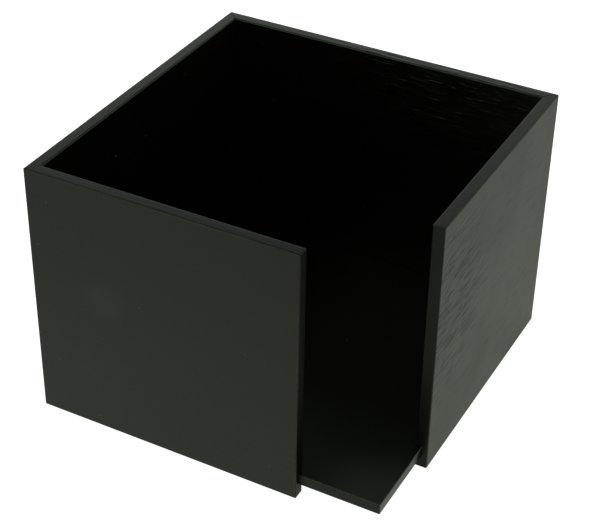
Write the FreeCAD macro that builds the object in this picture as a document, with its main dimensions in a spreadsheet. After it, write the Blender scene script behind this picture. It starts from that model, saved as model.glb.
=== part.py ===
import FreeCAD, Part
import os

import Sketcher

# A square, open-topped napkin box of black-stained wood. Four walls meet in glued mitres at three
# corners, and the fourth corner is left open so that fingers can pinch the stack. A base board sits in
# a groove that runs through the lower part of every wall and shows at the two free ends.
#
# Millimetres, +Z up. The origin is on the table under the middle of the box. The front wall faces -Y
# and the open corner is at +X, -Y.

DIMENSIONS = (
    ("box_width", 140.0, "outside, left to right"),
    ("box_depth", 140.0, "outside, front to back"),
    ("box_height", 103.0, "table to rim"),
    ("wall_thickness", 4.8, "every wall"),
    ("front_opening", 33.5, "width of the open corner along the front"),
    ("side_opening", 36.5, "width of the open corner along the right side"),
    ("base_thickness", 4.4, "floor board"),
    ("base_lift", 5.0, "table to the underside of the floor board"),
    ("groove_depth", 2.6, "cut into the inner face of each wall"),
    ("groove_headroom", 0.2, "gap over the floor board in its groove"),
    ("edge_clearance", 0.1, "gap between the floor board's edge and the bottom of the groove"),
    ("wall_easing", 0.6, "radius of the sanded edges of the walls"),
    ("base_easing", 0.4, "radius of the sanded edges of the floor board"),
    ("saw_overrun", 1.0, "how far a cutting profile runs past the wood"),
)
SHEET = "Dimensions"
ORIGIN_POINT = (-1, 1)
OVERLAP_TOLERANCE = 1e-4


def cell(alias):
    """The expression that reads one aliased cell of the sheet."""
    return f"{SHEET}.{alias}"


WIDTH = cell("box_width")
DEPTH = cell("box_depth")
HEIGHT = cell("box_height")
THICKNESS = cell("wall_thickness")
OVERRUN = cell("saw_overrun")


def fill_sheet(doc):
    """Write the driving dimensions into a spreadsheet, one aliased number to a row."""
    sheet = doc.addObject("Spreadsheet::Sheet", SHEET)
    for row, (alias, value, note) in enumerate(DIMENSIONS, start=1):
        sheet.set(f"A{row}", alias)
        sheet.set(f"B{row}", str(value))
        sheet.set(f"C{row}", note)
        sheet.setAlias(f"B{row}", alias)
    doc.recompute()
    return sheet


def origin_plane(body, role):
    """One of the body's own origin planes, by its role."""
    return next(item for item in body.Origin.OriginFeatures if item.Role == role)


def sketch_polygon(body, name, role, corners):
    """Sketch a closed polygon on an origin plane, each corner placed by two sheet expressions."""
    doc = body.Document
    sketch = body.newObject("Sketcher::SketchObject", name)
    sketch.AttachmentSupport = [(origin_plane(body, role), "")]
    sketch.MapMode = "FlatFace"
    start = [FreeCAD.Vector(evaluate(doc, x), evaluate(doc, y), 0) for x, y in corners]
    count = len(corners)
    for index in range(count):
        sketch.addGeometry(Part.LineSegment(start[index], start[(index + 1) % count]), False)
    for index in range(count):
        sketch.addConstraint(Sketcher.Constraint("Coincident", index, 2, (index + 1) % count, 1))
    for index, expressions in enumerate(corners):
        for kind, expression in zip(("DistanceX", "DistanceY"), expressions):
            value = evaluate(doc, expression)
            number = sketch.addConstraint(Sketcher.Constraint(kind, *ORIGIN_POINT, index, 1, value))
            label = f"{kind}_{index}"
            sketch.renameConstraint(number, label)
            sketch.setExpression(f"Constraints.{label}", expression)
    doc.recompute()
    if not sketch.FullyConstrained:
        raise RuntimeError(f"{name} of {body.Label} is not fully constrained")
    return sketch


def evaluate(doc, expression):
    """The present value of a sheet expression, in millimetres."""
    return float(doc.getObject(SHEET).evalExpression(expression))


def new_body(doc, label):
    """An empty body whose label names its file."""
    body = doc.addObject("PartDesign::Body", label)
    body.Label = label
    return body


def pad(body, profile, height):
    """Raise a profile to a solid blank."""
    blank = body.newObject("PartDesign::Pad", "Blank")
    blank.Profile = profile
    blank.setExpression("Length", height)
    body.Document.recompute()
    return blank


def ease_edges(body, blank, radius):
    """Round every edge of a blank, as sandpaper does."""
    easing = body.newObject("PartDesign::Fillet", "Easing")
    easing.Base = (blank, [f"Edge{number + 1}" for number in range(len(blank.Shape.Edges))])
    easing.setExpression("Radius", radius)
    body.Document.recompute()
    return easing


def cut_through(body, name, profile):
    """Cut a profile right through the body, along the profile's own normal."""
    before = body.Tip.Shape.Volume
    cut = body.newObject("PartDesign::Pocket", name)
    cut.Profile = profile
    cut.Type = "ThroughAll"
    cut.Reversed = True
    body.Document.recompute()
    if not cut.Shape.Volume < before:
        raise RuntimeError(f"{name} of {body.Label} removed nothing")
    return cut


def cut_groove(body):
    """Plough the base groove along the inner face, from end to end."""
    inner = f"{THICKNESS} + {OVERRUN}"
    floor = f"{THICKNESS} - {cell('groove_depth')}"
    low = cell("base_lift")
    high = f"{low} + {cell('base_thickness')} + {cell('groove_headroom')}"
    corners = ((floor, low), (inner, low), (inner, high), (floor, high))
    cut_through(body, "BaseGroove", sketch_polygon(body, "GrooveProfile", "YZ_Plane", corners))


def cut_mitre(body, name, heel, away):
    """Saw a 45 degree mitre through the outer corner at x = heel; away is - at the start, + at the end."""
    inward = "+" if away == "-" else "-"
    outside = f"{heel} {away} {OVERRUN}"
    past_inner = f"{THICKNESS} + {OVERRUN}"
    corners = (
        (outside, f"-{OVERRUN}"),
        (f"{heel} {inward} ({past_inner})", past_inner),
        (outside, past_inner),
    )
    cut_through(body, name, sketch_polygon(body, f"{name}Profile", "XY_Plane", corners))


def make_wall(doc, label, length, mitred_start, mitred_end, corner, turn):
    """Make one wall lying along its own X, outer face on -Y, then stand it in its place.

    corner is the expression pair for where its start goes on the table, turn its angle about Z.
    """
    body = new_body(doc, label)
    outline = (("0", "0"), (length, "0"), (length, THICKNESS), ("0", THICKNESS))
    blank = pad(body, sketch_polygon(body, "Plan", "XY_Plane", outline), HEIGHT)
    ease_edges(body, blank, cell("wall_easing"))
    cut_groove(body)
    if mitred_start:
        cut_mitre(body, "StartMitre", "0", "-")
    if mitred_end:
        cut_mitre(body, "EndMitre", length, "+")
    body.setExpression("Placement.Base.x", corner[0])
    body.setExpression("Placement.Base.y", corner[1])
    body.Placement.Rotation = FreeCAD.Rotation(FreeCAD.Vector(0, 0, 1), turn)
    doc.recompute()
    return body


def make_base(doc):
    """Make the square floor board, its edges a little short of the bottoms of the grooves."""
    body = new_body(doc, "base_panel")
    inset = f"({THICKNESS} - {cell('groove_depth')} + {cell('edge_clearance')})"
    right = f"{WIDTH} / 2 - {inset}"
    left = f"{inset} - {WIDTH} / 2"
    back = f"{DEPTH} / 2 - {inset}"
    front = f"{inset} - {DEPTH} / 2"
    outline = ((left, front), (right, front), (right, back), (left, back))
    blank = pad(body, sketch_polygon(body, "Plan", "XY_Plane", outline), cell("base_thickness"))
    ease_edges(body, blank, cell("base_easing"))
    body.setExpression("Placement.Base.z", cell("base_lift"))
    doc.recompute()
    return body


def make_walls(doc):
    """Make the four walls, anticlockwise from the front."""
    left = f"-{WIDTH} / 2"
    right = f"{WIDTH} / 2"
    front = f"-{DEPTH} / 2"
    back = f"{DEPTH} / 2"
    front_length = f"{WIDTH} - {cell('front_opening')}"
    side_length = f"{DEPTH} - {cell('side_opening')}"
    side_start = f"{cell('side_opening')} - {DEPTH} / 2"
    return [
        make_wall(doc, "front_panel", front_length, True, False, (left, front), 0),
        make_wall(doc, "right_panel", side_length, False, True, (right, side_start), 90),
        make_wall(doc, "back_panel", WIDTH, True, True, (right, back), 180),
        make_wall(doc, "left_panel", DEPTH, True, True, (left, back), 270),
    ]


def check_document(doc):
    """Stop if any object failed to recompute."""
    for item in doc.Objects:
        if "Invalid" in item.State or "Error" in item.State:
            raise RuntimeError(f"{item.Label} is in state {item.State}")


def check_panels(panels):
    """Stop unless each panel is one sound solid and no two of them overlap."""
    for panel in panels:
        shape = panel.Shape
        if shape.isNull() or not shape.isValid() or len(shape.Solids) != 1:
            raise RuntimeError(f"{panel.Label} is not one valid solid")
    for index, panel in enumerate(panels):
        for other in panels[index + 1:]:
            overlap = panel.Shape.common(other.Shape).Volume
            if overlap > OVERLAP_TOLERANCE:
                raise RuntimeError(f"{panel.Label} and {other.Label} overlap by {overlap:.4f} mm3")


def write_panels(panels):
    """Write each panel to its own STEP file."""
    os.makedirs("parts", exist_ok=True)
    for panel in panels:
        panel.Shape.exportStep(f"parts/{panel.Label}.step")
        box = panel.Shape.BoundBox
        size = f"{box.XLength:.2f} x {box.YLength:.2f} x {box.ZLength:.2f} mm"
        print(f"{panel.Label}: {size}, {panel.Shape.Volume / 1000:.2f} cm3")


def main():
    """Build the box and write its panels."""
    doc = FreeCAD.newDocument("NapkinBox")
    fill_sheet(doc)
    panels = [*make_walls(doc), make_base(doc)]
    doc.recompute()
    check_document(doc)
    check_panels(panels)
    write_panels(panels)


main()
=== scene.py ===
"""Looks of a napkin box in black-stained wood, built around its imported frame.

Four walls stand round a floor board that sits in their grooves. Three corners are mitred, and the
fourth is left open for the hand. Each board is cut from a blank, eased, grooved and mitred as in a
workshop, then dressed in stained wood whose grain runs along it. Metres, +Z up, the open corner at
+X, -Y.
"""
import logging
import math
from collections.abc import Callable, Iterator
from contextlib import contextmanager
from dataclasses import dataclass, field
from enum import Enum

import bpy
from mathutils import Matrix, Vector


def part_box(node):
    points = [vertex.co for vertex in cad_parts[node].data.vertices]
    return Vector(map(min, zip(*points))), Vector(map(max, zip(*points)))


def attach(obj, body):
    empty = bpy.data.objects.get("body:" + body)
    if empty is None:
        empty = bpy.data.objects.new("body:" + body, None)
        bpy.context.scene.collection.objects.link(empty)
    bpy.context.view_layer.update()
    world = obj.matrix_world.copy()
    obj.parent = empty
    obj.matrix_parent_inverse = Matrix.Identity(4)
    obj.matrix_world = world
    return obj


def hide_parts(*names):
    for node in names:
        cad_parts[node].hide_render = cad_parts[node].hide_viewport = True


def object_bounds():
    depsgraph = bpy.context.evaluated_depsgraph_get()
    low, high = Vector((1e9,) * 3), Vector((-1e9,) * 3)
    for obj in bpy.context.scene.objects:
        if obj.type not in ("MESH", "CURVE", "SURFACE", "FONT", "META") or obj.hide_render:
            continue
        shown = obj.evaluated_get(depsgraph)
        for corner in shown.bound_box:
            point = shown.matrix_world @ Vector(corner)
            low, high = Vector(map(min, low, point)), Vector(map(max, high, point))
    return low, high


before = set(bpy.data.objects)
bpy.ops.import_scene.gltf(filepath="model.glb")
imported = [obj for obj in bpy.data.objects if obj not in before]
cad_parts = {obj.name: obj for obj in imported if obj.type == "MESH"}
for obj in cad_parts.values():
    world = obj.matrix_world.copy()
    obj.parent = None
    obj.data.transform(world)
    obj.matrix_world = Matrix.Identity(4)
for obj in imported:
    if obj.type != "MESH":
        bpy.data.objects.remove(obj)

CAD_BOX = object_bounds()
LOG = logging.getLogger("napkin_box")
MM = 0.001

FLOOR_NODE = "base_panel"

# The least cosine between a face's normal and a direction for the face to count as square on to it.
SQUARE_ON = 0.9999
# The same for an end sawn across the grain. A mitre, at 45 degrees, keeps the long grain's finish.
ACROSS_GRAIN = 0.8
# A face turned off the axes is an eased edge if its area is less than this. A mitre's is more.
WIDEST_EASING = 60 * MM**2
SMOOTH_ANGLE = math.radians(30)

# The face attribute that marks the eased edges, and a board's two material slots.
EASED = "eased"
LONG_GRAIN = 0
SAWN_END = 1

FaceTest = Callable[[Vector], bool]
Range = tuple[float, float]
Place = tuple[float, float, float]
Colour = tuple[float, float, float]
Sockets = dict[str, bpy.types.NodeSocket]
Groups = dict[str, bpy.types.NodeTree]


# ---------------------------------------------------------------- modelling bench


def deselect_everything() -> None:
    """Clear the selection, which otherwise still holds the frame's nodes."""
    bpy.ops.object.select_all(action="DESELECT")


def make_active(piece: bpy.types.Object) -> None:
    """Select one object alone and make it active.

    Args:
        piece: The object.
    """
    deselect_everything()
    piece.select_set(True)
    bpy.context.view_layer.objects.active = piece


@contextmanager
def editing_faces(piece: bpy.types.Object) -> Iterator[None]:
    """Edit a piece by its faces, with what was picked still selected, and leave edit mode after.

    Args:
        piece: The object to edit.

    Yields:
        Nothing, while the piece is in edit mode.
    """
    make_active(piece)
    bpy.ops.object.mode_set(mode="EDIT")
    bpy.ops.mesh.select_mode(type="FACE")
    try:
        yield
    finally:
        bpy.ops.object.mode_set(mode="OBJECT")


def pick_faces(piece: bpy.types.Object, test: FaceTest) -> None:
    """Select only the faces whose normal passes a test.

    Args:
        piece: The object whose faces are picked.
        test: Takes a face's normal.
    """
    for items in (piece.data.vertices, piece.data.edges, piece.data.polygons):
        items.foreach_set("select", [False] * len(items))
    for face in piece.data.polygons:
        face.select = test(face.normal)


def apply_modifier(piece: bpy.types.Object, kind: str, **settings: object) -> None:
    """Add a modifier with its settings and apply it at once.

    Args:
        piece: The object that it changes.
        kind: The modifier's type.
        settings: Its own settings by name.
    """
    make_active(piece)
    modifier = piece.modifiers.new(kind.lower(), kind)
    for name, value in settings.items():
        setattr(modifier, name, value)
    bpy.ops.object.modifier_apply(modifier=modifier.name)


def add_blank(name: str, low: Vector, high: Vector) -> bpy.types.Object:
    """Saw a square-edged blank that fills the box between two corners.

    Args:
        name: The piece's name.
        low: The lowest corner.
        high: The highest corner.

    Returns:
        The blank, with its place in its mesh.
    """
    deselect_everything()
    bpy.ops.mesh.primitive_cube_add(size=1.0, location=(low + high) / 2)
    blank = bpy.context.active_object
    blank.name = name
    blank.data.name = name
    blank.scale = high - low
    bpy.ops.object.transform_apply(location=True, rotation=True, scale=True)
    return blank


# ---------------------------------------------------------------- shader bench


def rgba(colour: Colour) -> tuple[float, float, float, float]:
    """A colour with full alpha."""
    return (*colour, 1.0)


def outputs_of(node: bpy.types.Node) -> Sockets:
    """A node's outputs by name."""
    return {socket.name: socket for socket in node.outputs}


class ShaderBench:
    """Adds nodes to one shader tree, with plain values or links as their inputs."""

    # The Mix node's sockets when it mixes colours. It has others of the same names.
    MIX_FIRST = 6
    MIX_SECOND = 7
    MIX_RESULT = 2

    def __init__(self, tree: bpy.types.NodeTree) -> None:
        """Keep the tree that the nodes go in."""
        self.tree = tree

    def node(self, kind: str, **settings: object) -> bpy.types.Node:
        """Add a node and set its own properties.

        Args:
            kind: The node's type.
            settings: Its properties by name.

        Returns:
            The node.
        """
        made = self.tree.nodes.new(kind)
        for name, value in settings.items():
            setattr(made, name, value)
        return made

    def feed(self, socket: bpy.types.NodeSocket, value: object) -> None:
        """Link a socket into an input, or set the input to a plain value.

        Args:
            socket: The input.
            value: The socket to link, or the value.
        """
        if isinstance(value, bpy.types.NodeSocket):
            self.tree.links.new(value, socket)
        else:
            socket.default_value = value

    def feed_in_order(self, node: bpy.types.Node, values: tuple[object, ...]) -> None:
        """Feed a node's first inputs, one value each."""
        for socket, value in zip(node.inputs, values):
            self.feed(socket, value)

    def object_place(self) -> bpy.types.NodeSocket:
        """The shaded point in the object's own coordinates."""
        return self.node("ShaderNodeTexCoord").outputs["Object"]

    def math(self, operation: str, *values: object) -> bpy.types.NodeSocket:
        """Work out a value.

        Args:
            operation: What the Math node does.
            values: The one to three values that it takes.

        Returns:
            The result.
        """
        made = self.node("ShaderNodeMath", operation=operation)
        self.feed_in_order(made, values)
        return made.outputs[0]

    def vector(self, operation: str, *values: object) -> Sockets:
        """Work out a vector, or a value of vectors.

        Args:
            operation: What the Vector Math node does.
            values: The one or two vectors that it takes.

        Returns:
            The node's outputs by name, Vector and Value.
        """
        made = self.node("ShaderNodeVectorMath", operation=operation)
        self.feed_in_order(made, values)
        return outputs_of(made)

    def combine(self, x: object, y: object, z: object) -> bpy.types.NodeSocket:
        """Make a vector of three values.

        Args:
            x: Its X.
            y: Its Y.
            z: Its Z.

        Returns:
            The vector.
        """
        made = self.node("ShaderNodeCombineXYZ")
        self.feed_in_order(made, (x, y, z))
        return made.outputs[0]

    def split(self, vector: bpy.types.NodeSocket) -> Sockets:
        """Take a vector apart.

        Args:
            vector: The vector.

        Returns:
            Its X, Y and Z by name.
        """
        made = self.node("ShaderNodeSeparateXYZ")
        self.feed(made.inputs[0], vector)
        return outputs_of(made)

    def spread(self, value: object, low: float, high: float, to_low: object = 0.0,
               to_high: object = 1.0) -> bpy.types.NodeSocket:
        """Carry a value smoothly from one range to another, and hold it at the ends.

        Args:
            value: The value.
            low: Where the first range starts.
            high: Where it ends.
            to_low: What low becomes.
            to_high: What high becomes.

        Returns:
            The value in the second range.
        """
        made = self.node("ShaderNodeMapRange", interpolation_type="SMOOTHSTEP")
        self.feed_in_order(made, (value, low, high, to_low, to_high))
        return made.outputs[0]

    def noise(self, place: object, scale: float = 1.0, detail: float = 2.0,
              roughness: float = 0.5) -> Sockets:
        """Add a three-dimensional noise.

        Args:
            place: Where it is read.
            scale: How fine it is.
            detail: How many finer layers it has.
            roughness: How strong those are.

        Returns:
            Its value, Fac, and its Color.
        """
        made = self.node("ShaderNodeTexNoise", noise_dimensions="3D")
        self.feed(made.inputs["Vector"], place)
        self.feed(made.inputs["Scale"], scale)
        self.feed(made.inputs["Detail"], detail)
        self.feed(made.inputs["Roughness"], roughness)
        return outputs_of(made)

    def cells(self, place: object) -> Sockets:
        """Scatter cells, one to each unit of space.

        Args:
            place: Where they are read.

        Returns:
            The Distance to the nearest cell's middle, and a Color for each cell.
        """
        made = self.node("ShaderNodeTexVoronoi", voronoi_dimensions="3D", feature="F1")
        self.feed(made.inputs["Vector"], place)
        self.feed(made.inputs["Scale"], 1.0)
        return outputs_of(made)

    def mix(self, share: object, first: object, second: object) -> bpy.types.NodeSocket:
        """Mix two colours.

        Args:
            share: How much of the second there is.
            first: The first colour.
            second: The second colour.

        Returns:
            The mixed colour.
        """
        made = self.node("ShaderNodeMix", data_type="RGBA")
        self.feed(made.inputs["Factor"], share)
        self.feed(made.inputs[self.MIX_FIRST], first)
        self.feed(made.inputs[self.MIX_SECOND], second)
        return made.outputs[self.MIX_RESULT]

    def scaled(self, place: object, size: bpy.types.NodeSocket) -> bpy.types.NodeSocket:
        """A place measured in steps of one size along every axis."""
        return self.vector("DIVIDE", place, self.combine(size, size, size))["Vector"]

    def bump(self, height: bpy.types.NodeSocket, depth: float) -> bpy.types.NodeSocket:
        """Lay a relief on the surface.

        Args:
            height: The relief, as a share of the depth.
            depth: How deep the relief is.

        Returns:
            The surface's direction with the relief on it.
        """
        made = self.node("ShaderNodeBump")
        self.feed(made.inputs["Strength"], 1.0)
        self.feed(made.inputs["Distance"], depth)
        self.feed(made.inputs["Height"], height)
        return made.outputs[0]

    def place_group(self, group: bpy.types.NodeTree, values: dict[str, object]) -> Sockets:
        """Place a shared group with values of its own.

        Args:
            group: The group.
            values: Its inputs by name.

        Returns:
            Its outputs by name.
        """
        made = self.node("ShaderNodeGroup", node_tree=group)
        for name, value in values.items():
            self.feed(made.inputs[name], value)
        return outputs_of(made)

    def surface(self, values: dict[str, object]) -> None:
        """Finish a material with one Principled surface.

        Args:
            values: The surface's inputs by name.
        """
        made = self.node("ShaderNodeBsdfPrincipled")
        for name, value in values.items():
            self.feed(made.inputs[name], value)
        output = self.node("ShaderNodeOutputMaterial")
        self.feed(output.inputs["Surface"], made.outputs[0])


class GroupBench(ShaderBench):
    """Builds one shared shader group, whose named inputs are in take."""

    def __init__(self, name: str, inputs: dict[str, float | None]) -> None:
        """Start an empty group.

        Args:
            name: The group's name.
            inputs: Each input's default value, or None for a vector.
        """
        super().__init__(bpy.data.node_groups.new(name, "ShaderNodeTree"))
        for socket, default in inputs.items():
            kind = "NodeSocketVector" if default is None else "NodeSocketFloat"
            made = self.tree.interface.new_socket(socket, in_out="INPUT", socket_type=kind)
            if default is not None:
                made.default_value = default
        self.take = outputs_of(self.node("NodeGroupInput"))

    def give(self, values: Sockets) -> bpy.types.NodeTree:
        """Put values out under their names.

        Args:
            values: The outputs by name, which are all plain values.

        Returns:
            The finished group.
        """
        for name in values:
            self.tree.interface.new_socket(name, in_out="OUTPUT", socket_type="NodeSocketFloat")
        result = self.node("NodeGroupOutput")
        for name, value in values.items():
            self.feed(result.inputs[name], value)
        return self.tree


@dataclass(frozen=True)
class GrainFigure:
    """How noises become the grain of a board whose fibres run along X.

    Attributes:
        sway_scale: The scale of the noise that makes the fibres wander.
        fibre_range: The noise values where a fibre's tone starts and ends.
        pore_range: How far from a pore's middle its hollow starts to rise and ends, in pores.
        band_length: A broad band's length, in band widths.
        band_range: The noise values where a band starts and ends.
        tear_range: The noise values where a tear starts and is deepest.
        fibre_height: How high fibres stand in the relief.
        band_height: How high bands stand in the relief.
        pore_depth: How deep pores lie in the relief.
    """

    sway_scale: float = 16.0
    fibre_range: Range = (0.3, 0.7)
    pore_range: Range = (0.12, 0.5)
    band_length: float = 14.0
    band_range: Range = (0.32, 0.68)
    tear_range: Range = (0.44, 0.68)
    fibre_height: float = 0.45
    band_height: float = 0.15
    pore_depth: float = 0.4

    def make_group(self) -> bpy.types.NodeTree:
        """Make the grain's group.

        Returns:
            A group that puts out the fibre tone, the pores, the broad bands, the shallow tears that a
            plane leaves, and the relief, each 0 to 1.
        """
        bench = GroupBench("wood_grain", {
            "Board": None, "Fibre Length": 0.016, "Fibre Width": 0.0008, "Pore Length": 0.009,
            "Pore Width": 0.0010, "Pore Share": 0.45, "Band Width": 0.011, "Wander": 0.0016,
            "Tear Length": 0.0105, "Tear Width": 0.0017,
        })
        take = bench.take
        place = self.swayed(bench)

        def stretched(length: object, width: object) -> bpy.types.NodeSocket:
            """The place measured in lengths along the grain and widths across it."""
            return bench.vector("DIVIDE", place, bench.combine(length, width, width))["Vector"]

        fine = bench.noise(stretched(take["Fibre Length"], take["Fibre Width"]), detail=3.0, roughness=0.6)
        fibres = bench.spread(fine["Fac"], *self.fibre_range)
        pores = self.pores(bench, stretched(take["Pore Length"], take["Pore Width"]))
        band_length = bench.math("MULTIPLY", take["Band Width"], self.band_length)
        broad = bench.noise(stretched(band_length, take["Band Width"]))
        bands = bench.spread(broad["Fac"], *self.band_range)
        torn = bench.noise(stretched(take["Tear Length"], take["Tear Width"]), roughness=0.65)
        tears = bench.spread(torn["Fac"], *self.tear_range)

        ridge = bench.math("MULTIPLY_ADD", fibres, self.fibre_height,
                           bench.math("MULTIPLY", bands, self.band_height))
        hollow = bench.math("MULTIPLY", pores, self.pore_depth)
        relief = bench.math("SUBTRACT", bench.math("ADD", ridge, self.pore_depth), hollow)
        return bench.give({
            "Fibres": fibres, "Pores": pores, "Bands": bands, "Tears": tears, "Relief": relief,
        })

    def swayed(self, bench: GroupBench) -> bpy.types.NodeSocket:
        """Push the board's place aside a little, so that the fibres wander.

        Args:
            bench: The group's bench.

        Returns:
            The place.
        """
        take = bench.take
        drift = bench.noise(take["Board"], scale=self.sway_scale, detail=1.0)["Color"]
        centred = bench.vector("SUBTRACT", drift, (0.5, 0.5, 0.5))["Vector"]
        sway = bench.vector("MULTIPLY", centred, bench.combine(0.0, take["Wander"], take["Wander"]))
        return bench.vector("ADD", take["Board"], sway["Vector"])["Vector"]

    def pores(self, bench: GroupBench, place: bpy.types.NodeSocket) -> bpy.types.NodeSocket:
        """Open a share of the cells as pores, each with a hollow in its middle.

        Args:
            bench: The group's bench.
            place: The place measured in pores.

        Returns:
            How hollow the wood is, 0 to 1.
        """
        cells = bench.cells(place)
        lottery = bench.node("ShaderNodeSeparateColor")
        bench.feed(lottery.inputs[0], cells["Color"])
        is_open = bench.math("LESS_THAN", lottery.outputs[0], bench.take["Pore Share"])
        hollow = bench.spread(cells["Distance"], *self.pore_range, 1.0, 0.0)
        return bench.math("MULTIPLY", hollow, is_open)


@dataclass(frozen=True)
class EndFigure:
    """How the sawn end of a board shows its growth rings and the open mouths of its pores.

    Attributes:
        wobble_scale: The scale of the noise that makes the rings uneven.
        pore_range: How far from a pore's middle its mouth starts to rise and ends, in pore spacings.
        ring_height: How high late wood stands in the relief.
        level: The height of early wood in the relief.
    """

    wobble_scale: float = 220.0
    pore_range: Range = (0.15, 0.4)
    ring_height: float = 0.3
    level: float = 0.7

    def make_group(self) -> bpy.types.NodeTree:
        """Make the end grain's group.

        Returns:
            A group that puts out the rings and the pores, each 0 to 1, and the relief, which falls
            below 0 in a pore.
        """
        bench = GroupBench("end_grain", {
            "Board": None, "Ring Width": 0.0019, "Pore Spacing": 0.00055, "Heart Depth": 0.09,
        })
        take = bench.take
        across = bench.split(take["Board"])
        sunk = bench.math("ADD", across["Y"], take["Heart Depth"])
        squares = bench.math("ADD", bench.math("MULTIPLY", sunk, sunk),
                             bench.math("MULTIPLY", across["Z"], across["Z"]))
        from_heart = bench.math("SQRT", squares)
        wobble = bench.noise(take["Board"], scale=self.wobble_scale, detail=1.0)["Fac"]
        years = bench.math("ADD", bench.math("DIVIDE", from_heart, take["Ring Width"]), wobble)
        rings = bench.math("FRACT", years)
        cells = bench.cells(bench.scaled(take["Board"], take["Pore Spacing"]))
        pores = bench.spread(cells["Distance"], *self.pore_range, 1.0, 0.0)
        swell = bench.math("MULTIPLY_ADD", rings, self.ring_height, self.level)
        relief = bench.math("SUBTRACT", swell, pores)
        return bench.give({"Rings": rings, "Pores": pores, "Relief": relief})


@dataclass(frozen=True)
class HandlingFigure:
    """How the marks of use lie: soft smudges, a few specks of dust and one spot that differs.

    Attributes:
        smudge_range: The noise values where a smudge starts and ends.
        raggedness: How much the smudges pull the spot's edge in and out, in reaches.
        spot_range: How far from its middle the spot starts to fade and ends, in reaches.
    """

    smudge_range: Range = (0.35, 0.75)
    raggedness: float = 0.5
    spot_range: Range = (0.25, 1.0)

    def make_group(self) -> bpy.types.NodeTree:
        """Make the group of marks.

        Returns:
            A group that puts out the smudges, the dust and the spot, each 0 to 1.
        """
        bench = GroupBench("handling_marks", {
            "Place": None, "Smudge Size": 0.03, "Dust Spacing": 0.010, "Dust Size": 0.00028,
            "Spot": None, "Spot Reach": 0.01,
        })
        take = bench.take
        patches = bench.noise(bench.scaled(take["Place"], take["Smudge Size"]))["Fac"]
        smudges = bench.spread(patches, *self.smudge_range)
        cells = bench.cells(bench.scaled(take["Place"], take["Dust Spacing"]))
        size_in_cells = bench.math("DIVIDE", take["Dust Size"], take["Dust Spacing"])
        dust = bench.math("LESS_THAN", cells["Distance"], size_in_cells)
        away = bench.vector("DISTANCE", take["Place"], take["Spot"])["Value"]
        reaches = bench.math("DIVIDE", away, take["Spot Reach"])
        centred = bench.math("SUBTRACT", reaches, self.raggedness / 2)
        ragged = bench.math("MULTIPLY_ADD", patches, self.raggedness, centred)
        spot = bench.spread(ragged, *self.spot_range, 1.0, 0.0)
        return bench.give({"Smudges": smudges, "Dust": dust, "Spot": spot})


# ---------------------------------------------------------------- finishes


class Grain(Enum):
    """The way a board's fibres run, as the turn that brings them to X."""

    ALONG_X = 0.0
    ALONG_Y = math.radians(90)


@dataclass(frozen=True)
class Spot:
    """A place on a board that differs from the rest.

    Attributes:
        place: The spot's middle, in the box's frame.
        reach: How far it goes from there.
        strength: How strong it is, 0 for none.
    """

    place: Place = (0.0, 0.0, 1.0)
    reach: float = 0.01
    strength: float = 0.0


def new_material(name: str) -> tuple[bpy.types.Material, ShaderBench]:
    """Make an empty node material.

    Args:
        name: The material's name.

    Returns:
        The material and a bench on its tree.
    """
    material = bpy.data.materials.new(name)
    material.use_nodes = True
    material.node_tree.nodes.clear()
    return material, ShaderBench(material.node_tree)


def turned(bench: ShaderBench, place: bpy.types.NodeSocket, grain: Grain,
           start: Place) -> bpy.types.NodeSocket:
    """Find a board's place in the tree that it came from, turned so that its fibres run along X.

    Args:
        bench: The bench of the material's tree.
        place: The place in the box's frame.
        grain: The way that the fibres run.
        start: Where in the tree the board was cut.

    Returns:
        The place in the tree.
    """
    board = bench.node("ShaderNodeMapping", vector_type="POINT")
    bench.feed(board.inputs["Vector"], place)
    bench.feed(board.inputs["Rotation"], (0.0, 0.0, grain.value))
    bench.feed(board.inputs["Location"], start)
    return board.outputs[0]


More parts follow.
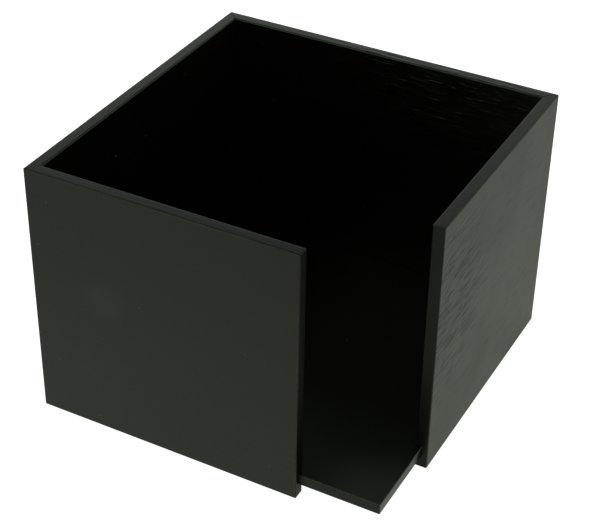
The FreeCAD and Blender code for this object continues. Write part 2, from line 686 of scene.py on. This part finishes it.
@dataclass(frozen=True)
class StainedWood:
    """Black-stained wood under a thin satin coat, with its grain along one axis of the box.

    Attributes:
        name: The material's name.
        grain: The way that the fibres run.
        start: Where in the tree the board was cut.
        paler_spot: Where hands have rubbed the stain.
        torn: Where the plane has torn the grain.
        torn_anywhere: The depth of the tears away from there.
        relief: The depth of the grain.
        deep: The stain in dark fibres.
        pale: The stain in light fibres.
        tone_share: The share of fibres, and that of bands, in the stain's tone.
        pore: The colour in an open pore.
        worn: The colour of edges worn through.
        paler_spot_colour: The colour in the paler spot, partly painted light on the floor board.
        dust: The colour of a speck of dust.
        roughness: How dull the coat is.
        fibre_dulls: What a light fibre adds to the roughness.
        smudge_dulls: What a smudge adds to it.
        pore_dulls: What an open pore adds to it.
        tear_dulls: What a tear adds to it.
        wear_on_fibres: The fibre tones between which an edge wears.
        wear_range: The least and the most that fibres let an edge wear.
        wear_when_handled: How much more an edge wears under a smudge.
        wear_anywhere: How much it wears elsewhere.
        ior: The coat's index of refraction.
        glint: The tint of what the coat reflects head on.
    """

    name: str
    grain: Grain
    start: Place
    paler_spot: Spot = Spot()
    torn: Spot = Spot()
    torn_anywhere: float = 0.3
    relief: float = 0.019 * MM
    deep: Colour = (0.0005, 0.0007, 0.0004)
    pale: Colour = (0.0016, 0.0019, 0.0013)
    tone_share: float = 0.5
    pore: Colour = (0.0002, 0.0003, 0.0002)
    worn: Colour = (0.0420, 0.0430, 0.0370)
    paler_spot_colour: Colour = (0.0330, 0.0340, 0.0290)
    dust: Colour = (0.0600, 0.0590, 0.0540)
    roughness: float = 0.26
    fibre_dulls: float = -0.03
    smudge_dulls: float = 0.04
    pore_dulls: float = 0.06
    tear_dulls: float = 0.011
    wear_on_fibres: Range = (0.3, 0.95)
    wear_range: Range = (0.1, 0.8)
    wear_when_handled: float = 0.8
    wear_anywhere: float = 0.15
    ior: float = 1.48
    glint: Colour = (0.94, 1.03, 0.90)

    def make(self, groups: Groups) -> bpy.types.Material:
        """Make the material.

        Args:
            groups: The shared shader groups by name.

        Returns:
            The material.
        """
        material, bench = new_material(self.name)
        place = bench.object_place()
        board = turned(bench, place, self.grain, self.start)
        grain = bench.place_group(groups["grain"], {"Board": board})
        marks = self.marks_with(bench, groups["handling"], place, self.paler_spot)
        torn_spot = self.marks_with(bench, groups["handling"], place, self.torn)["Spot"]
        depth = bench.math("MULTIPLY_ADD", torn_spot, self.torn.strength, self.torn_anywhere)
        tears = bench.math("MULTIPLY", grain["Tears"], depth)
        bench.surface({
            "Base Color": self.colour(bench, grain, marks),
            "Roughness": self.dullness(bench, grain, marks, tears),
            "Normal": bench.bump(bench.math("SUBTRACT", grain["Relief"], tears), self.relief),
            "IOR": self.ior,
            "Specular Tint": rgba(self.glint),
        })
        return material

    def marks_with(self, bench: ShaderBench, group: bpy.types.NodeTree, place: bpy.types.NodeSocket,
                   spot: Spot) -> Sockets:
        """Place the handling marks with one spot of their own."""
        return bench.place_group(group, {"Place": place, "Spot": spot.place, "Spot Reach": spot.reach})

    def colour(self, bench: ShaderBench, grain: Sockets, marks: Sockets) -> bpy.types.NodeSocket:
        """Mix the stain with its pores, wear, paler spot and dust.

        Args:
            bench: The bench of the material's tree.
            grain: What the grain group puts out.
            marks: What the handling group puts out.

        Returns:
            The colour.
        """
        bands = bench.math("MULTIPLY", grain["Bands"], self.tone_share)
        tone = bench.math("MULTIPLY_ADD", grain["Fibres"], self.tone_share, bands)
        # The paler spot lightens the stain. On the floor board it is partly painted light: lighter round
        # the open corner, where light falls in.
        paler_spot = bench.math("MULTIPLY", marks["Spot"], self.paler_spot.strength)
        colour = bench.mix(tone, rgba(self.deep), rgba(self.pale))
        colour = bench.mix(grain["Pores"], colour, rgba(self.pore))
        colour = bench.mix(self.wear(bench, grain, marks), colour, rgba(self.worn))
        colour = bench.mix(paler_spot, colour, rgba(self.paler_spot_colour))
        return bench.mix(marks["Dust"], colour, rgba(self.dust))

    def dullness(self, bench: ShaderBench, grain: Sockets, marks: Sockets,
                 tears: bpy.types.NodeSocket) -> bpy.types.NodeSocket:
        """Work out the coat's roughness.

        Args:
            bench: The bench of the material's tree.
            grain: What the grain group puts out.
            marks: What the handling group puts out.
            tears: The depth of the tears.

        Returns:
            The roughness, which pores, smudges and tears raise and light fibres lower.
        """
        dullness = bench.math("MULTIPLY_ADD", grain["Fibres"], self.fibre_dulls, self.roughness)
        dullness = bench.math("MULTIPLY_ADD", marks["Smudges"], self.smudge_dulls, dullness)
        dullness = bench.math("MULTIPLY_ADD", grain["Pores"], self.pore_dulls, dullness)
        return bench.math("MULTIPLY_ADD", tears, self.tear_dulls, dullness)

    def wear(self, bench: ShaderBench, grain: Sockets, marks: Sockets) -> bpy.types.NodeSocket:
        """Rub the stain through along the eased edges.

        Args:
            bench: The bench of the material's tree.
            grain: What the grain group puts out. Its fibres break the wear up.
            marks: What the handling group puts out. An edge wears more under its smudges.

        Returns:
            A mask from 0, whole, to 1, worn through.
        """
        edge = bench.node("ShaderNodeAttribute", attribute_name=EASED).outputs["Fac"]
        broken = bench.spread(grain["Fibres"], *self.wear_on_fibres, *self.wear_range)
        handled = bench.math("MULTIPLY_ADD", marks["Smudges"], self.wear_when_handled, self.wear_anywhere)
        return bench.math("MULTIPLY", edge, bench.math("MULTIPLY", broken, handled))


@dataclass(frozen=True)
class StainedEnd:
    """The sawn end of a stained board, which drinks the coat and stays dull.

    Attributes:
        name: The material's name.
        grain: The way that the board's fibres run.
        start: Where in the tree the board was cut.
        relief: The depth of the rings and pores.
        early: The stain in early wood.
        late: The stain in late wood.
        roughness: How dull the end is.
        pore_dulls: What a pore adds to the roughness.
        ring_dulls: What late wood adds to it.
        ior: The coat's index of refraction.
        glint: The tint of what the coat reflects head on.
    """

    name: str
    grain: Grain
    start: Place
    relief: float = 0.03 * MM
    early: Colour = (0.0012, 0.0014, 0.0010)
    late: Colour = (0.0005, 0.0006, 0.0004)
    roughness: float = 0.42
    pore_dulls: float = 0.2
    ring_dulls: float = -0.06
    ior: float = 1.36
    glint: Colour = (1.0, 1.03, 0.90)

    def make(self, groups: Groups) -> bpy.types.Material:
        """Make the material.

        Args:
            groups: The shared shader groups by name.

        Returns:
            The material.
        """
        material, bench = new_material(self.name)
        board = turned(bench, bench.object_place(), self.grain, self.start)
        end = bench.place_group(groups["end"], {"Board": board})
        dullness = bench.math("MULTIPLY_ADD", end["Pores"], self.pore_dulls, self.roughness)
        dullness = bench.math("MULTIPLY_ADD", end["Rings"], self.ring_dulls, dullness)
        bench.surface({
            "Base Color": bench.mix(end["Rings"], rgba(self.early), rgba(self.late)),
            "Roughness": dullness,
            "Normal": bench.bump(end["Relief"], self.relief),
            "IOR": self.ior,
            "Specular Tint": rgba(self.glint),
        })
        return material


@dataclass(frozen=True)
class PaleFloor:
    """A matt, nearly white studio floor that glows softly, most of all in a pool round the box.

    Attributes:
        light: The floor's lighter colour.
        shade: Its darker colour.
        cloud_scale: The scale of the unevenness between them.
        roughness: How matt it is.
        sheen: How strong its gloss is, where 0.5 is usual.
        near_glow: The glow that the box reflects from beside it.
        far_glow: The glow that it reflects from further off.
        pool: How far from the box's middle the near glow starts to fade and ends.
        glow_tint: The colour of the reflected glow.
        seen_glow: The glow that the camera sees.
        white: The colour of the glow that the camera sees.
    """

    light: Colour = (0.86, 0.86, 0.855)
    shade: Colour = (0.84, 0.84, 0.835)
    cloud_scale: float = 3.0
    roughness: float = 0.9
    sheen: float = 0.1
    near_glow: float = 0.35
    far_glow: float = 0.225
    pool: Range = (0.07, 0.24)
    glow_tint: Colour = (0.97, 1.0, 0.87)
    seen_glow: float = 0.95
    white: Colour = (1.0, 1.0, 1.0)

    def make(self) -> bpy.types.Material:
        """Make the material.

        Returns:
            The material.
        """
        material, bench = new_material("pale_floor")
        place = bench.object_place()
        cloud = bench.noise(place, scale=self.cloud_scale)["Fac"]
        away = bench.vector("LENGTH", place)["Value"]
        reflected = bench.spread(away, *self.pool, self.near_glow, self.far_glow)
        seen = bench.node("ShaderNodeLightPath").outputs["Is Camera Ray"]
        bench.surface({
            "Base Color": bench.mix(cloud, rgba(self.shade), rgba(self.light)),
            "Roughness": self.roughness,
            "Specular IOR Level": self.sheen,
            "Emission Color": bench.mix(seen, rgba(self.glow_tint), rgba(self.white)),
            "Emission Strength": bench.spread(seen, 0.0, 1.0, reflected, self.seen_glow),
        })
        return material


# ---------------------------------------------------------------- boards


class Side(Enum):
    """A wall of the box: its CAD node and the way that it faces."""

    FRONT = ("front_panel", (0, -1, 0))
    RIGHT = ("right_panel", (1, 0, 0))
    BACK = ("back_panel", (0, 1, 0))
    LEFT = ("left_panel", (-1, 0, 0))

    @property
    def node(self) -> str:
        """The wall's CAD node."""
        return self.value[0]

    @property
    def outward(self) -> Vector:
        """The outward normal of the wall's outer face."""
        return Vector(self.value[1])

    @property
    def along(self) -> Vector:
        """The direction of the wall's length, and of its grain."""
        return Vector((abs(self.value[1][1]), abs(self.value[1][0]), 0))

    @property
    def axis(self) -> int:
        """The index of the axis that the wall runs along."""
        return 0 if self.along.x else 1


def mark_ends(board: bpy.types.Object, along: Vector) -> None:
    """Give the faces that the saw left across the grain the board's second finish.

    Args:
        board: The board's object.
        along: The direction of its grain.
    """
    pick_faces(board, lambda facing: abs(facing.dot(along)) > ACROSS_GRAIN)
    for face in board.data.polygons:
        face.material_index = SAWN_END if face.select else LONG_GRAIN


def finish_shape(board: bpy.types.Object) -> None:
    """Mark a board's eased edges for wear and shade it smoothly across them.

    Args:
        board: The board's object.
    """
    mark = board.data.attributes.new(EASED, "FLOAT", "FACE")
    for face, value in zip(board.data.polygons, mark.data):
        square_on = max(abs(part) for part in face.normal) > SQUARE_ON
        value.value = 0.0 if square_on or face.area > WIDEST_EASING else 1.0
    make_active(board)
    bpy.ops.object.shade_smooth_by_angle(angle=SMOOTH_ANGLE)
    apply_modifier(board, "WEIGHTED_NORMAL", keep_sharp=True)


def dress_board(board: bpy.types.Object, finishes: tuple[StainedWood, StainedEnd], groups: Groups,
                node: str) -> None:
    """Give a finished board its materials and its place in the frame.

    Args:
        board: The board's object.
        finishes: The finish of its long grain and that of its sawn ends, in the order of its slots.
        groups: The shared shader groups by name.
        node: The CAD node that it stands for.
    """
    for finish in finishes:
        board.data.materials.append(finish.make(groups))
    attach(board, "root")
    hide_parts(node)


@dataclass(frozen=True)
class Wall:
    """One wall of the box: a board with eased edges, a through groove and one or two mitres.

    Attributes:
        side: Which wall it is.
        name: The piece's name.
        wood: The finish of its long grain.
        mitred_low: Whether the end with the lower coordinate is mitred.
        mitred_high: Whether the end with the higher coordinate is mitred.
        easing: How far in the long edges are rounded.
        easing_steps: How many strips make the rounding.
        groove_headroom: The groove's room above the floor board.
        groove_clearance: The groove's room past the floor board's edge.
        seam: How far each mitre stands back from the corner's plane.
        seam_easing: How far in the mitre's edges are eased.
        overrun: How far the groove's cutter runs past the board.
    """

    side: Side
    name: str
    wood: StainedWood
    mitred_low: bool
    mitred_high: bool
    easing: float = 0.6 * MM
    easing_steps: int = 4
    groove_headroom: float = 0.2 * MM
    groove_clearance: float = 0.1 * MM
    seam: float = 0.03 * MM
    seam_easing: float = 0.12 * MM
    overrun: float = 5.0 * MM

    def build(self) -> bpy.types.Object:
        """Cut the wall from its blank.

        Returns:
            The wall's mesh object.
        """
        low, high = self.blank_corners()
        wall = add_blank(self.name, low, high)
        apply_modifier(wall, "BEVEL", width=self.easing, segments=self.easing_steps, limit_method="ANGLE")
        self.plough_groove(wall, low, high)
        if self.mitred_low:
            self.saw_mitre(wall, -1)
        if self.mitred_high:
            self.saw_mitre(wall, 1)
        mark_ends(wall, self.side.along)
        finish_shape(wall)
        return wall

    def dress(self, wall: bpy.types.Object, groups: Groups) -> None:
        """Stain the wall, and any square-sawn end with the end grain of the same board."""
        end = StainedEnd(self.wood.name.replace("wood", "end"), self.wood.grain, self.wood.start)
        dress_board(wall, (self.wood, end), groups, self.side.node)

    def blank_corners(self) -> tuple[Vector, Vector]:
        """Find the blank: the node's box, run out to the box's full corner where it is mitred.

        Returns:
            The blank's lowest corner and its highest.
        """
        low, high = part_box(self.side.node)
        whole_low, whole_high = CAD_BOX
        axis = self.side.axis
        if self.mitred_low:
            low[axis] = whole_low[axis]
        if self.mitred_high:
            high[axis] = whole_high[axis]
        return low, high

    def plough_groove(self, wall: bpy.types.Object, low: Vector, high: Vector) -> None:
        """Plough the floor board's groove along the inner face, from end to end.

        Args:
            wall: The wall's object.
            low: The blank's lowest corner.
            high: The blank's highest corner.
        """
        floor_low, floor_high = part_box(FLOOR_NODE)
        axis = self.side.axis
        across = 1 - axis
        bar_low = low.copy()
        bar_high = high.copy()
        bar_low[axis] -= self.overrun
        bar_high[axis] += self.overrun
        if self.side.outward[across] < 0:
            bar_low[across] = floor_low[across] - self.groove_clearance
            bar_high[across] += self.overrun
        else:
            bar_high[across] = floor_high[across] + self.groove_clearance
            bar_low[across] -= self.overrun
        bar_low.z = floor_low.z
        bar_high.z = floor_high.z + self.groove_headroom
        bar = add_blank("groove_bar", bar_low, bar_high)
        apply_modifier(wall, "BOOLEAN", object=bar, operation="DIFFERENCE", solver="EXACT")
        bpy.data.objects.remove(bar)

    def saw_mitre(self, wall: bpy.types.Object, sign: int) -> None:
        """Saw a 45 degree mitre at one end and ease the edges of the cut.

        Args:
            wall: The wall's object.
            sign: -1 at the wall's low end, 1 at its high end.
        """
        end = self.side.along * sign
        normal = (end - self.side.outward).normalized()
        whole_low, whole_high = CAD_BOX
        heel = Vector()
        for index in (0, 1):
            facing = end[index] + self.side.outward[index]
            heel[index] = whole_high[index] if facing > 0 else whole_low[index]
        cut = heel - normal * self.seam
        with editing_faces(wall):
            bpy.ops.mesh.select_all(action="SELECT")
            bpy.ops.mesh.bisect(plane_co=cut, plane_no=normal, use_fill=True, clear_outer=True)
        pick_faces(wall, lambda facing: facing.dot(normal) > SQUARE_ON)
        with editing_faces(wall):
            bpy.ops.mesh.region_to_loop()
            bpy.ops.mesh.bevel(offset=self.seam_easing, segments=1, affect="EDGES")


@dataclass(frozen=True)
class FloorBoard:
    """The square board that the napkins lie on, held in the walls' grooves.

    Attributes:
        wood: The finish of its long grain.
        end: The finish of its sawn ends.
        name: The piece's name.
        node: The CAD node that it stands for.
        along: The direction of its grain.
        easing: How far in its edges are rounded.
        easing_steps: How many strips make the rounding.
    """

    wood: StainedWood
    end: StainedEnd
    name: str = "floor_board"
    node: str = FLOOR_NODE
    along: Vector = field(default_factory=lambda: Vector((0, 1, 0)))
    easing: float = 0.4 * MM
    easing_steps: int = 3

    def build(self) -> bpy.types.Object:
        """Cut the board from its blank and ease its edges.

        Returns:
            The board's mesh object.
        """
        low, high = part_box(self.node)
        board = add_blank(self.name, low, high)
        apply_modifier(board, "BEVEL", width=self.easing, segments=self.easing_steps, limit_method="ANGLE")
        mark_ends(board, self.along)
        finish_shape(board)
        return board

    def dress(self, board: bpy.types.Object, groups: Groups) -> None:
        """Stain the board."""
        dress_board(board, (self.wood, self.end), groups, self.node)


# ---------------------------------------------------------------- studio


@dataclass(frozen=True)
class Softbox:
    """A square soft light that shines at a point.

    Attributes:
        name: The light's name.
        place: Where it hangs.
        aim: The point that it shines at.
        size: The length of its sides.
        power: Its power in watts.
        colour: The colour of its light.
    """

    name: str
    place: Vector
    aim: Vector
    size: float
    power: float
    colour: Colour = (0.98, 1.0, 0.88)

    def hang(self) -> None:
        """Hang the light."""
        data = bpy.data.lights.new(self.name, "AREA")
        data.shape = "SQUARE"
        data.size = self.size
        data.energy = self.power
        data.color = self.colour
        lamp = bpy.data.objects.new(self.name, data)
        bpy.context.scene.collection.objects.link(lamp)
        lamp.location = self.place
        lamp.rotation_euler = (self.aim - self.place).to_track_quat("-Z", "Y").to_euler()


@dataclass(frozen=True)
class Studio:
    """A pale floor, plain soft light and the camera.

    Attributes:
        aim: The point that the camera looks at.
        distance: How far from there the camera stands.
        azimuth: How far the camera stands round to the right of the front.
        elevation: How far it stands above the horizon.
        roll: How far it leans.
        lens: Its focal length in millimetres.
        sensor: Its sensor's width in millimetres.
        nearest: The nearest distance that it sees.
        floor_size: The length of the floor's sides.
        floor_gap: How far the floor lies below the box, so that the two never share a plane.
        horizon: The room's colour at the horizon.
        zenith: The room's colour overhead.
        dimming: The heights, on a sphere of radius 1, where the room starts to dim and ends.
    """

    aim: Vector = field(default_factory=lambda: Vector((1.075, -2.107, 48.065)) * MM)
    distance: float = 589.7 * MM
    azimuth: float = math.radians(27.534)
    elevation: float = math.radians(34.552)
    roll: float = math.radians(1.099)
    lens: float = 95.18
    sensor: float = 36.0
    nearest: float = 0.01
    floor_size: float = 12.0
    floor_gap: float = 0.02 * MM
    horizon: Colour = (0.61, 0.65, 0.60)
    zenith: Colour = (0.085, 0.09, 0.082)
    dimming: Range = (0.38, 0.66)

    def set_up(self) -> None:
        """Lay the floor, light it and place the camera."""
        self.lay_floor()
        self.fill_room()
        for light in self.lights():
            light.hang()
        self.place_camera()
        bpy.context.scene.view_settings.view_transform = "Standard"

    def lay_floor(self) -> None:
        """Lay the floor just under the box, and name it studio_floor."""
        deselect_everything()
        bpy.ops.mesh.primitive_plane_add(size=self.floor_size, location=(0, 0, -self.floor_gap))
        floor = bpy.context.active_object
        floor.name = "studio_floor"
        floor.data.materials.append(PaleFloor().make())

    def fill_room(self) -> None:
        """Fill the room with soft light, bright towards the horizon and dimmer overhead."""
        world = bpy.data.worlds.new("studio_room")
        bpy.context.scene.world = world
        world.use_nodes = True
        world.node_tree.nodes.clear()
        bench = ShaderBench(world.node_tree)
        facing = bench.node("ShaderNodeTexCoord").outputs["Generated"]
        overhead = bench.spread(bench.split(facing)["Z"], *self.dimming)
        light = bench.node("ShaderNodeBackground")
        bench.feed(light.inputs["Color"], bench.mix(overhead, rgba(self.horizon), rgba(self.zenith)))
        output = bench.node("ShaderNodeOutputWorld")
        bench.feed(output.inputs["Surface"], light.outputs[0])

    def lights(self) -> tuple[Softbox, Softbox]:
        """Choose the lights: one overhead at the front left, and one lower and further to the left.

        Returns:
            The lights, not yet hung.
        """
        middle = Vector((0, 0, 0.05))
        return (
            Softbox("overhead", place=Vector((-0.45, -0.85, 1.35)), aim=middle, size=1.3, power=3.0),
            Softbox("side", place=Vector((-1.7, -0.6, 0.9)), aim=middle, size=0.9, power=2.2),
        )

    def place_camera(self) -> None:
        """Place the camera and make it the scene's own."""
        back = Vector((
            math.sin(self.azimuth) * math.cos(self.elevation),
            -math.cos(self.azimuth) * math.cos(self.elevation),
            math.sin(self.elevation),
        ))
        right = Vector((math.cos(self.azimuth), math.sin(self.azimuth), 0))
        up = back.cross(right)
        rolled_right = math.cos(self.roll) * right + math.sin(self.roll) * up
        rolled_up = back.cross(rolled_right)
        data = bpy.data.cameras.new("camera")
        data.lens = self.lens
        data.sensor_width = self.sensor
        data.clip_start = self.nearest
        camera = bpy.data.objects.new("camera", data)
        bpy.context.scene.collection.objects.link(camera)
        turn = Matrix((rolled_right, rolled_up, back)).transposed().to_4x4()
        camera.matrix_world = Matrix.Translation(self.aim + back * self.distance) @ turn
        bpy.context.scene.camera = camera


# ---------------------------------------------------------------- the box


def walls() -> tuple[Wall, ...]:
    """List the four walls, each cut from a stretch of the tree of its own.

    Returns:
        The walls, not yet built.
    """
    # A faint paler patch on the front face.
    front_paler_patch = Spot(place=(-0.040, -0.070, 0.058), reach=0.012, strength=0.22)
    rough_patch = Spot(place=(0.070, -0.030, 0.067), reach=0.049, strength=9.0)
    rough_inside = Spot(place=(0.030, 0.065, 0.108), reach=0.072, strength=5.0)
    front = StainedWood("front_wood", Grain.ALONG_X, start=(0.31, 0.07, 0.53), paler_spot=front_paler_patch)
    right = StainedWood("right_wood", Grain.ALONG_Y, start=(0.83, 0.42, 0.17), torn=rough_patch,
                        roughness=0.32, glint=(1.0, 1.03, 0.91))
    back = StainedWood("back_wood", Grain.ALONG_X, start=(1.37, 0.91, 0.29), torn=rough_inside)
    left = StainedWood("left_wood", Grain.ALONG_Y, start=(1.91, 0.23, 0.71), dust=(0.16, 0.155, 0.145))
    return (
        Wall(Side.FRONT, "front_wall", front, mitred_low=True, mitred_high=False),
        Wall(Side.RIGHT, "right_wall", right, mitred_low=False, mitred_high=True),
        Wall(Side.BACK, "back_wall", back, mitred_low=True, mitred_high=True),
        Wall(Side.LEFT, "left_wall", left, mitred_low=True, mitred_high=True),
    )


def floor_board() -> FloorBoard:
    """Choose the floor board, whose bare corner is paler: partly worn by hands, partly painted light for
    the light that falls in there.

    Returns:
        The board, not yet built.
    """
    start = (2.47, 0.61, 0.37)
    # Painted light: the stain is paler round the open corner, partly for wear from hands and partly for
    # the light that falls in there.
    worn_and_lit_corner = Spot(place=(0.068, -0.068, 0.009), reach=0.034, strength=0.8)
    wood = StainedWood("base_wood", Grain.ALONG_Y, start, paler_spot=worn_and_lit_corner, relief=0.012 * MM,
                       roughness=0.24, worn=(0.14, 0.14, 0.12))
    end = StainedEnd("base_end", Grain.ALONG_Y, start, relief=0.08 * MM, early=(0.0160, 0.0160, 0.0130))
    return FloorBoard(wood, end)


def main() -> None:
    """Build the box, dress it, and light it."""
    logging.basicConfig(level=logging.INFO, format="%(message)s")
    groups = {
        "grain": GrainFigure().make_group(),
        "end": EndFigure().make_group(),
        "handling": HandlingFigure().make_group(),
    }
    for board in (*walls(), floor_board()):
        piece = board.build()
        board.dress(piece, groups)
        LOG.info("%s: %d faces of %s", piece.name, len(piece.data.polygons), board.wood.name)
    Studio().set_up()


if __name__ == "__main__":
    main()
